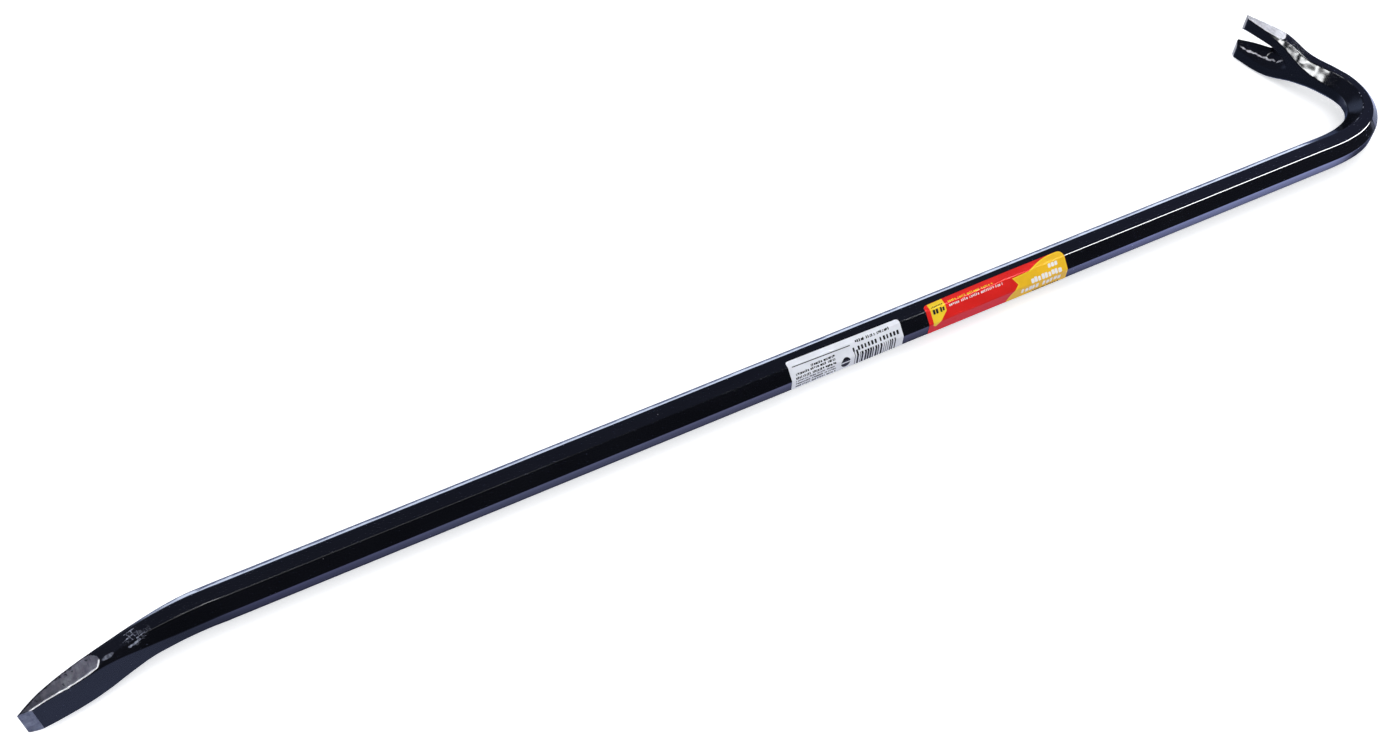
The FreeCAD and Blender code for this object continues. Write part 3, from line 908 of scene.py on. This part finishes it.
def wrap(x, girth, height):
    """Drawing point at a height over the octagon, in metres."""
    for k, corner_girth in enumerate(CORNER_GIRTH):
        if abs(girth - corner_girth) < EDGE_TANGENT:
            f = (girth - corner_girth + EDGE_TANGENT) / (2 * EDGE_TANGENT)
            middle = (NORMAL_ANGLE[k] + NORMAL_ANGLE[k + 1]) / 2
            reach = EDGE_RADIUS / math.cos(math.pi / 8)
            cy = OCTAGON[k][0] - math.cos(middle) * reach
            cz = OCTAGON[k][1] - math.sin(middle) * reach
            angle = NORMAL_ANGLE[k] + (NORMAL_ANGLE[k + 1] - NORMAL_ANGLE[k]) * f
            y = cy + math.cos(angle) * (EDGE_RADIUS + height)
            z = cz + math.sin(angle) * (EDGE_RADIUS + height)
            return ((x - LABEL_ORIGIN) * MM, y * MM, z * MM)
    k = sum(girth > corner_girth for corner_girth in CORNER_GIRTH)
    angle = NORMAL_ANGLE[k]
    corner = max(k - 1, 0)
    run = girth - CORNER_GIRTH[corner]
    y = OCTAGON[corner][0] - math.sin(angle) * run + math.cos(angle) * height
    z = OCTAGON[corner][1] + math.cos(angle) * run + math.sin(angle) * height
    return ((x - LABEL_ORIGIN) * MM, y * MM, z * MM)


def rounded_box(x0, g0, x1, g1, radius, steps=3):
    r = min(radius, (x1 - x0) / 2.01, (g1 - g0) / 2.01)
    points = []
    for cx, cg, start in ((x1 - r, g0 + r, -90), (x1 - r, g1 - r, 0),
                          (x0 + r, g1 - r, 90), (x0 + r, g0 + r, 180)):
        for i in range(steps + 1):
            angle = math.radians(start + 90 * i / steps)
            points.append((cx + r * math.cos(angle), cg + r * math.sin(angle)))
    return points


def soften(points, radii, steps):
    """Rounds each corner of a polygon with a quadratic curve."""
    out = []
    for i, (corner, radius) in enumerate(zip(points, radii)):
        before, after = points[i - 1], points[(i + 1) % len(points)]
        run_in, run_out = math.dist(before, corner), math.dist(corner, after)
        t = min(radius, run_in * 0.49, run_out * 0.49)
        a, b = lerp(corner, before, t / run_in), lerp(corner, after, t / run_out)
        for k in range(steps + 1):
            f = k / steps
            out.append(lerp(lerp(a, corner, f), lerp(corner, b, f), f))
    return out


def bezier(controls, steps):
    p0, p1, p2, p3 = controls
    out = []
    for i in range(steps + 1):
        t = i / steps
        u = 1 - t
        out.append(tuple(u ** 3 * p0[k] + 3 * u * u * t * p1[k] + 3 * u * t * t * p2[k]
                         + t ** 3 * p3[k] for k in (0, 1)))
    return out


def bisect(bm, place, normal):
    bmesh.ops.bisect_plane(bm, geom=bm.verts[:] + bm.edges[:] + bm.faces[:], dist=1e-5,
                           plane_co=place, plane_no=normal)


def sheet(name, polygons, bottom, top, material, x_step=4.0, replaces=None):
    """Closed wrapped sheet from flat polygons, between two heights above the steel."""
    bm = bmesh.new()
    for polygon in polygons:
        bm.faces.new([bm.verts.new((x, g, 0.0)) for x, g in polygon])
    bm.normal_update()
    girths = [v.co.y for v in bm.verts]
    xs = [v.co.x for v in bm.verts]
    for corner_girth in CORNER_GIRTH:
        for i in range(6):
            girth = corner_girth - EDGE_TANGENT + 2 * EDGE_TANGENT * i / 5
            if min(girths) < girth < max(girths):
                bisect(bm, (0, girth, 0), (0, 1, 0))
    if x_step:
        count = int((max(xs) - min(xs)) / x_step)
        for i in range(1, count + 1):
            x = min(xs) + (max(xs) - min(xs)) * i / (count + 1)
            bisect(bm, (x, 0, 0), (1, 0, 0))
    bm.verts.index_update()

    n = len(bm.verts)
    flat = [(v.co.x, v.co.y) for v in bm.verts]
    vertices = [wrap(x, g, top) for x, g in flat] + [wrap(x, g, bottom) for x, g in flat]
    faces = []
    for face in bm.faces:
        ids = [v.index for v in face.verts]
        faces.append(ids)
        faces.append([i + n for i in reversed(ids)])
    for edge in bm.edges:
        if len(edge.link_faces) == 1:
            ids = [v.index for v in edge.link_faces[0].verts]
            a, b = edge.verts[0].index, edge.verts[1].index
            if ids[(ids.index(a) + 1) % len(ids)] != b:
                a, b = b, a
            faces.append([b, a, a + n, b + n])
    bm.free()

    mesh = bpy.data.meshes.new(name)
    mesh.from_pydata(vertices, [], faces)
    add_attributes(mesh, (("lx", [x for x, g in flat] * 2), ("lg", [g for x, g in flat] * 2)))
    bm = bmesh.new()
    bm.from_mesh(mesh)
    face_outwards(bm)
    bm.to_mesh(mesh)
    bm.free()
    add_piece(mesh, material, sharp_degrees=30, replaces=replaces)


def vinyl(name, colour, rough, specular, seed):
    """Printed film, faintly clouded and scratched; seed shifts the pattern."""
    material, n = new_material(name)
    place = n.mapping(n.coordinates(), location=(seed, seed * 0.7, 0))
    cloud = n.noise(place, scale=90, detail=3, rough=0.55)
    fine = n.noise(place, scale=1400, rough=0.6)
    streaks = n.mapping(place, scale=(30, 420, 420))
    scratch = n.noise(streaks, scale=4, detail=3, rough=0.7).rise(start=0.68, end=0.75)
    shade = n.mix(cloud.rise(start=0.3, end=0.7), tuple(c * 0.90 for c in colour), colour)
    shade = n.mix(fine.rise(start=0.55, end=0.8) * 0.12, shade,
                  tuple(c * 0.7 for c in colour))
    shade = n.mix(scratch * 0.05, shade, tuple(min(1.0, c * 0.6 + 0.3) for c in colour))
    roughness = cloud.remap(start=0.3, end=0.7, low=rough - 0.05, high=rough + 0.06)
    roughness = roughness + scratch * 0.075
    normal = n.bump(cloud * 0.05 + fine * 0.006, strength=0.4)
    n.finish(n.principled(shade, roughness, specular=specular, normal=normal))
    return material


RED = vinyl("label_red_vinyl", (0.735, 0.015, 0.012), rough=0.32, specular=0.26, seed=0.0)
YELLOW = vinyl("label_yellow_ink", (0.88, 0.51, 0.018), rough=0.33, specular=0.26, seed=0.3)
BRIGHT_YELLOW = vinyl("label_bright_yellow_ink", (0.92, 0.64, 0.030), rough=0.33,
                      specular=0.26, seed=0.5)
WHITE = vinyl("label_white_ink", (0.88, 0.88, 0.90), rough=0.36, specular=0.26, seed=0.9)
BLACK = vinyl("label_black_ink", (0.006, 0.006, 0.009), rough=0.36, specular=0.26, seed=1.3)
PAPER = vinyl("label_white_paper", (0.79, 0.81, 0.88), rough=0.42, specular=0.3, seed=1.9)


def random_numbers(state):
    while True:
        state = (1103515245 * state + 12345) % 2147483648
        yield state / 2147483648.0


# One stream for all the printing, so the order of the rows below matters.
random_stream = random_numbers(12345)


def draw():
    return next(random_stream)


def type_row(x0, x1, g0, g1, pitch, fill, shortest, longest, heavy=False):
    """A line of small blocks grouped like words, shortest to longest blocks in each."""
    out = []
    x = x0
    h = g1 - g0
    radius = 0.12 * h
    while x < x1 - pitch * 0.6:
        for _ in range(int(shortest + draw() * (longest - shortest + 1))):
            if x > x1 - pitch * 0.6:
                break
            w = pitch * fill * (0.75 + 0.5 * draw())
            pick = draw()
            if heavy:
                low = g0 + (0.16 * h if pick < 0.45 else 0)
                high = g1 - (0.14 * h if pick > 0.8 else 0)
                out.append(rounded_box(x, low, x + w, high, w * 0.28))
            elif pick < 0.35:
                out.append(rounded_box(x, g0 + 0.22 * h, x + w, g1, radius, 2))
            elif pick < 0.6:
                out.append(rounded_box(x, g0, x + w * 0.6, g1, radius, 2))
            elif pick < 0.8:
                out.append(rounded_box(x, g0 + 0.22 * h, x + w, g0 + 0.52 * h, radius, 2))
                out.append(rounded_box(x, g0 + 0.70 * h, x + w, g1, radius, 2))
            else:
                out.append(rounded_box(x, g0 + 0.1 * h, x + w * 0.85, g1 - 0.22 * h,
                                       radius, 2))
            x += pitch * (0.9 + 0.2 * draw())
        x += pitch * 0.75
    return out


def type_rows(table, heavy=False):
    return [block for row in table for block in type_row(*row, heavy=heavy)]


# Type rows: x from, x to, girth from, girth to, pitch, fill, shortest and longest word.
BARCODE_TYPE = [(x0, 87.6, g, g + depth, 1.12, 0.92, 4, 9) for x0, g, depth in (
    (71.0, 2.9, 1.5), (60.6, 4.9, 1.5), (60.0, 7.2, 1.5), (60.0, 9.6, 1.5),
    (60.0, 12.1, 1.5), (60.0, 14.5, 1.5), (60.0, 17.9, 1.45), (60.0, 20.0, 1.45))]
BARCODE_TYPE.append((102.0, 127.2, -0.45, 1.35, 1.30, 0.90, 5, 8))
WHITE_HEAVY_TYPE = [
    (238.2, 246.3, 0.3, 3.4, 2.35, 0.80, 3, 3),
    (224.6, 246.3, 5.2, 8.6, 2.55, 0.78, 9, 9),
    (217.6, 246.0, 10.6, 14.3, 2.75, 0.76, 5, 5)]
WHITE_TYPE = [(167.2, 206.3, 0.65, 2.25, 1.22, 0.68, 3, 8)]
BLACK_TYPE = [
    (226.5, 246.0, 15.5, 17.0, 1.35, 0.7, 4, 7),
    (226.5, 246.0, 18.4, 19.9, 1.35, 0.7, 4, 7),
    (155.4, 163.6, -1.6, -0.4, 1.0, 0.7, 8, 8)]
YELLOW_TYPE = [(167.2, 199.0, -1.75, -0.2, 1.2, 0.68, 4, 9)]
# Four black blocks on the badge: x0, g0, x1, g1.
BADGE_BLOCKS = [(155.6, 0.6, 157.2, 3.6), (157.7, 0.6, 159.2, 3.6),
                (160.6, 0.5, 161.9, 3.7), (162.3, 0.9, 163.6, 3.3)]


def figures():
    """Thirteen plain blocks in a row above the bars, where the figures go."""
    out = []
    x = 99.2
    for i in range(13):
        out.append(rounded_box(x, 3.5, x + 1.0 + 0.45 * draw(), 6.2, 0.35))
        x += 2.32 + (1.1 if i in (0, 6) else 0)
    return out


def bars():
    """Upright bars; the first two start nearer the top."""
    out = []
    x = 99.6
    while x < 128.0:
        w = 0.42 * (1 + int(draw() * 2.7))
        start = 5.4 if len(out) < 2 else 7.4
        out.append([(x, start), (x + w, start), (x + w, 22.6), (x, 22.6)])
        x += w + 0.50 * (1 + int(draw() * 1.7))
    return out


def split_disc():
    """An oval crossed by an unprinted band: its two halves."""
    cx, cg, rx, rg = 93.5, 11.3, 3.15, 4.1
    halves = []
    for side, gap in ((-1, 0.30), (1, 0.40)):
        angles = [math.pi * k / 24 for k in range(25)]
        points = [(cx - side * rx * math.cos(a), cg + side * rg * math.sin(a))
                  for a in angles]
        halves.append([p for p in points if side * (p[1] - cg) > gap])
    return halves


def barcode_label():
    x0, x1 = 57.2, 133.0
    outline = [(x0, -4.0), (x1, -3.0), (x1, LABEL_FOOT), (x0, LABEL_FOOT)]
    sheet("barcode_label_sheet", [soften(outline, [1.9] * 4, 6)], 0.0, LABEL_THICK, PAPER,
          replaces="barcode_label")
    ink = [[(59.6, 0.30), (98.2, 1.15), (98.2, 1.72), (59.6, 0.87)]]    # slanting rule
    ink += type_rows(BARCODE_TYPE)
    ink += figures()
    ink += bars()
    ink += split_disc()
    sheet("barcode_label_print", ink, INK_BASE, INK_LOW, BLACK, x_step=0)


# The yellow panel at the +X end of the product label, and the border behind it.
# upper, left, corner: Bezier controls of the upper edge, the left edge and the upper right
# corner; notch: a point left of the upper edge; foot_x: left end of the lower edge;
# margin: gap to the label's lower edge.
BORDER = dict(
    upper=((243.8, -4.78), (236.5, -4.6), (231.0, -2.2), (224.6, 0.55)),
    notch=(212.4, 0.95),
    left=((215.5, 5.9), (211.0, 10.0), (207.6, 13.5), (206.6, 19.0)),
    foot_x=206.0, margin=0.2,
    corner=((250.85, -1.6), (250.85, -3.9), (249.6, -4.78), (247.3, -4.78)))
PANEL = dict(
    upper=((244.6, -4.1), (237.2, -3.75), (231.6, -1.5), (225.0, 1.25)),
    notch=(213.9, 1.6),
    left=((216.5, 6.0), (212.2, 10.2), (208.5, 13.8), (207.4, 19.0)),
    foot_x=206.8, margin=0.9,
    corner=((250.1, -1.3), (250.1, -3.2), (249.0, -4.0), (247.2, -4.05)))


def panel_outline(upper, notch, left, foot_x, margin, corner):
    foot = LABEL_FOOT - margin
    right_x = corner[0][0]
    right = ((right_x, foot), (right_x, 8.0), (right_x, 2.0), corner[0])
    return (bezier(upper, 10) + [notch] + bezier(left, 8) + [(foot_x, foot)]
            + bezier(right, 3) + bezier(corner, 6)[1:])


def product_label():
    x0, x1 = 151.2, 251.0
    outline = [(x0, -4.15), (200.0, -5.0), (x1, -4.9), (x1, LABEL_FOOT), (x0, LABEL_FOOT)]
    sheet("product_label_sheet", [soften(outline, [3.2, 30.0, 3.6, 2.5, 2.5], 8)],
          0.0, LABEL_THICK, RED, replaces="product_label")
    sheet("product_label_edge", [panel_outline(**BORDER)], INK_BASE, INK_LOW,
          BRIGHT_YELLOW)
    sheet("product_label_panel", [panel_outline(**PANEL)],
          LABEL_THICK + 0.005, LABEL_THICK + 0.025, YELLOW)
    badge = [(154.2, -4.0), (164.7, -4.35), (164.7, 3.9), (155.9, 12.0), (154.2, 10.6)]
    sheet("product_label_badge", [soften(badge, [0.3, 0.3, 0.5, 0.6, 0.5], 3)],
          INK_BASE, INK_LOW, BRIGHT_YELLOW)
    white = type_rows(WHITE_HEAVY_TYPE, heavy=True) + type_rows(WHITE_TYPE)
    sheet("product_label_white", white, INK_BASE, INK_HIGH, WHITE, x_step=0)
    black = type_rows(BLACK_TYPE) + [rounded_box(*box, 0.4) for box in BADGE_BLOCKS]
    sheet("product_label_black", black, INK_BASE, INK_HIGH, BLACK, x_step=0)
    sheet("product_label_lines", type_rows(YELLOW_TYPE), INK_BASE, INK_LOW,
          BRIGHT_YELLOW, x_step=0)


barcode_label()
product_label()

# ============================================================================
# 7. Floor, lights, world and camera (metres)
# ============================================================================
# Painted reflection of the floor in front of the bar: grey against distance out from the bar (0
# to 1), dark right beside the bar as painted shade, ...
FRONT_SHADE = [(0.0, 0.05), (0.17, 0.08), (0.27, 0.20), (0.36, 0.42), (0.45, 0.62),
               (0.53, 1.0), (0.60, 0.95), (0.70, 0.16), (0.85, 0.05), (1.0, 0.04)]
# ... and colour along the bar, from x = -0.46 to 0.46.
FRONT_TINT = [
    (0.00, (0.088, 0.105, 0.185)), (0.10, (0.088, 0.105, 0.185)), (0.16, (0.17, 0.185, 0.38)),
    (0.28, (0.23, 0.26, 0.48)), (0.48, (0.25, 0.27, 0.50)), (0.60, (0.18, 0.19, 0.36)),
    (0.70, (0.21, 0.24, 0.46)), (0.77, (0.36, 0.40, 0.78)), (0.85, (0.47, 0.53, 0.98)),
    (1.00, (0.44, 0.49, 0.92))]


def reflected_floor(n, place):
    """Painted reflection: an emission that glossy rays see in place of the lit floor, graded by
    place round the bar.
    """
    x, y = n.several("ShaderNodeSeparateXYZ", (0, 1), {0: place})
    # in front: the grading starts further out beside the chisel
    start_y = (x * -1.0).rise(start=0.335, end=0.470).remap(
        start=0, end=1, low=-0.0104, high=-0.0330)
    shade = n.ramp((start_y - y) * (1 / 0.024), FRONT_SHADE)
    tint = n.ramp(x.remap(start=-0.46, end=0.46), FRONT_TINT)
    by_chisel = (x * -1.0).rise(start=0.335, end=0.385)
    shade = n.mix(by_chisel, shade, (0.68, 0.68, 0.68))
    front = n.scaled(n.vector_math("MULTIPLY", shade, tint), 4.0)

    # behind: a bright strip and a weaker one nearer the bar, only for rays heading to +Y
    incoming = n.add("ShaderNodeNewGeometry", output="Incoming")
    incoming_y = n.add("ShaderNodeSeparateXYZ", {0: incoming}, 1)
    away = (incoming_y * -1.0).rise(start=0.25, end=0.45)
    allowed = away * x.fall(start=0.425, end=0.440)
    split = y.rise(start=0.0498, end=0.0504)
    bright = allowed * (split * y.fall(start=0.0535, end=0.0560))
    weak = allowed * (y.rise(start=0.036, end=0.041) * (1.0 - split))
    strips = n.vector_math("ADD", n.light((0.74, 0.84, 1.06), bright * 3.0),
                           n.light((0.22, 0.26, 0.46), weak))
    back = n.vector_math("ADD", strips, n.light((0.11, 0.14, 0.26), 1.0 - bright))
    back = n.mix((x * -1.0).rise(start=0.385, end=0.405), back, (0.028, 0.032, 0.050))

    colour = n.mix(y.rise(start=-0.004, end=0.004), front, back)
    beyond_hook = x.rise(start=0.475, end=0.500) * y.rise(start=-0.12, end=-0.06)
    beyond_hook = beyond_hook * x.fall(start=0.9, end=1.2)
    return n.vector_math("ADD", colour, n.light((0.66, 0.72, 1.0), beyond_hook * 1.5))


def floor_material():
    material, n = new_material("pale_floor")
    place = n.coordinates()
    reflected = n.add("ShaderNodeEmission", {"Color": reflected_floor(n, place)})
    colour = n.ramp(n.noise(place, scale=3, detail=3),
                    [(0.3, (0.90, 0.905, 0.92)), (0.7, (0.925, 0.93, 0.94))])
    pale = n.principled(colour, rough=0.8, specular=0.0,
                        normal=n.bump(n.noise(place, scale=600), strength=0.05))
    # lifts the floor the camera sees
    lift = n.add("ShaderNodeEmission", {"Color": (0.94, 0.95, 0.97), "Strength": 0.50})
    lifted = n.add("ShaderNodeAddShader", {0: pale, 1: lift})
    to_camera, glossy = n.several("ShaderNodeLightPath", ("Is Camera Ray", "Is Glossy Ray"))
    n.finish(n.mix_shader(glossy, n.mix_shader(to_camera, pale, lifted), reflected))
    return material


def add_floor():
    half_size, z, n = 40.0, -0.0080, 12
    ticks = [-half_size + 2 * half_size * i / n for i in range(n + 1)]
    row = n + 1
    faces = [(j * row + i, j * row + i + 1, (j + 1) * row + i + 1, (j + 1) * row + i)
             for j in range(n) for i in range(n)]
    mesh = bpy.data.meshes.new("floor")
    mesh.from_pydata([(x, y, z) for y in ticks for x in ticks], [], faces)
    obj = add_object(mesh)
    mesh.materials.append(floor_material())


def area_light(name, location, size, power):
    """Square light aimed at the origin, not seen by the camera or in reflections."""
    data = bpy.data.lights.new(name, "AREA")
    data.shape = "RECTANGLE"
    data.size = size
    data.size_y = size
    data.energy = power
    obj = bpy.data.objects.new(name, data)
    scene.collection.objects.link(obj)
    obj.location = location
    obj.rotation_mode = "QUATERNION"
    obj.rotation_quaternion = (-Vector(location)).to_track_quat("-Z", "Y")
    obj.visible_glossy = False
    obj.visible_camera = False


# Soft boxes in the reflected room, placed by ray direction: x range, y range, fade width,
# lowest z, power, whether broken up by noise.
SOFT_BOXES = [
    ((-0.64, -0.53), (-0.42, -0.22), 0.03, 0.3, 30.0, True),
    ((-0.44, -0.24), (-0.585, -0.55), 0.015, 0.3, 36.0, False),
    ((-0.13, -0.06), (0.14, 0.28), 0.04, 0.3, 18.0, False),
    ((-0.02, 0.16), (-0.30, -0.19), 0.05, 0.7, 3.2, False)]


def reflected_room(n):
    """What glossy rays see: a dim room, a strip light overhead at +X, and soft boxes."""
    direction = n.coordinates("Generated")
    x, y, z = n.several("ShaderNodeSeparateXYZ", (0, 1, 2), {0: direction})
    slanted_y = y + (x.min(0.62) - 0.55) * 1.3
    strip = (slanted_y.band(rise=(-0.30, -0.22), fall=(0.00, 0.08))
             * x.band(rise=(0.41, 0.50), fall=(0.86, 0.94)))
    strip = strip * z.rise(start=0.42, end=0.52)
    power_sum = strip * 58.0
    broken = n.noise(direction, scale=7.5, detail=3, rough=0.6).rise(start=0.41, end=0.45)
    for (x0, x1), (y0, y1), fade, low_z, power, uneven in SOFT_BOXES:
        box = (x.band(rise=(x0 - fade, x0), fall=(x1, x1 + fade))
               * y.band(rise=(y0 - fade, y0), fall=(y1, y1 + fade)))
        box = box * z.rise(start=low_z, end=low_z + 0.1) * power
        if uneven:
            box = box * broken
        power_sum = power_sum + box
    back_glow = y.rise(start=0.62, end=0.92) * (
        z.band(rise=(0.00, 0.12), fall=(0.36, 0.60))
        * x.band(rise=(-0.70, -0.35), fall=(0.00, 0.22)))
    right_glow = x.rise(start=0.86, end=0.93) * (
        z.band(rise=(-0.2, -0.1), fall=(0.02, 0.08))
        * y.band(rise=(-0.45, -0.35), fall=(0.5, 0.7)))
    to_right = x.rise(start=0.40, end=0.60)
    front_room = n.mix(to_right, (0.030, 0.034, 0.049), (0.078, 0.085, 0.127))
    back_room = n.mix(to_right, (0.116, 0.136, 0.238), (0.18, 0.205, 0.39))
    colour = n.mix(y.rise(start=-0.35, end=0.25), front_room, back_room)
    for tint, amount in (((0.97, 0.985, 1.0), power_sum), ((0.40, 0.50, 0.80), back_glow),
                         ((0.9, 1.0, 1.3), right_glow)):
        colour = n.vector_math("ADD", colour, n.light(tint, amount))
    return colour


def add_world():
    world = bpy.data.worlds.new("studio")
    scene.world = world
    world.use_nodes = True
    n = Nodes(world.node_tree)

    def background(colour, strength):
        return n.add("ShaderNodeBackground", {"Color": colour, "Strength": strength})
    reflected = background(reflected_room(n), strength=1.0)
    ambient = background((0.96, 0.98, 1.0), strength=0.41)
    backdrop = background((0.95, 0.955, 0.965), strength=1.0)
    glossy, to_camera = n.several("ShaderNodeLightPath", ("Is Glossy Ray", "Is Camera Ray"))
    lighting = n.mix_shader(glossy, ambient, reflected)
    n.finish(n.mix_shader(to_camera, lighting, backdrop), "ShaderNodeOutputWorld")
    world.cycles.sampling_method = "NONE"


def set_render():
    scene.view_settings.view_transform = "Standard"
    scene.view_settings.look = "None"
    scene.view_settings.exposure = 0.0
    scene.view_settings.gamma = 1.0
    scene.cycles.use_denoising = True
    scene.cycles.max_bounces = 8
    scene.cycles.sample_clamp_indirect = 6.0


def add_camera():
    data = bpy.data.cameras.new("camera")
    data.sensor_width = 36.0
    data.lens = 42.9067
    data.clip_start = 0.02
    data.clip_end = 50
    camera = bpy.data.objects.new("camera", data)
    scene.collection.objects.link(camera)
    right = (0.890835, -0.453454, 0.028131)
    up = (0.356404, 0.73589, 0.57571)
    backward = (-0.281759, -0.502837, 0.81717)
    turned = Matrix((right, up, backward)).transposed().to_4x4()
    camera.matrix_world = Matrix.Translation((-0.325201, -0.469798, 0.807560)) @ turned
    scene.camera = camera


add_floor()
area_light("key", location=(-0.4, -0.6, 2.2), size=2.6, power=41.0)
area_light("fill_back", location=(0.8, 1.8, 1.6), size=2.0, power=12.0)
add_world()
set_render()
add_camera()

bpy.context.view_layer.update()
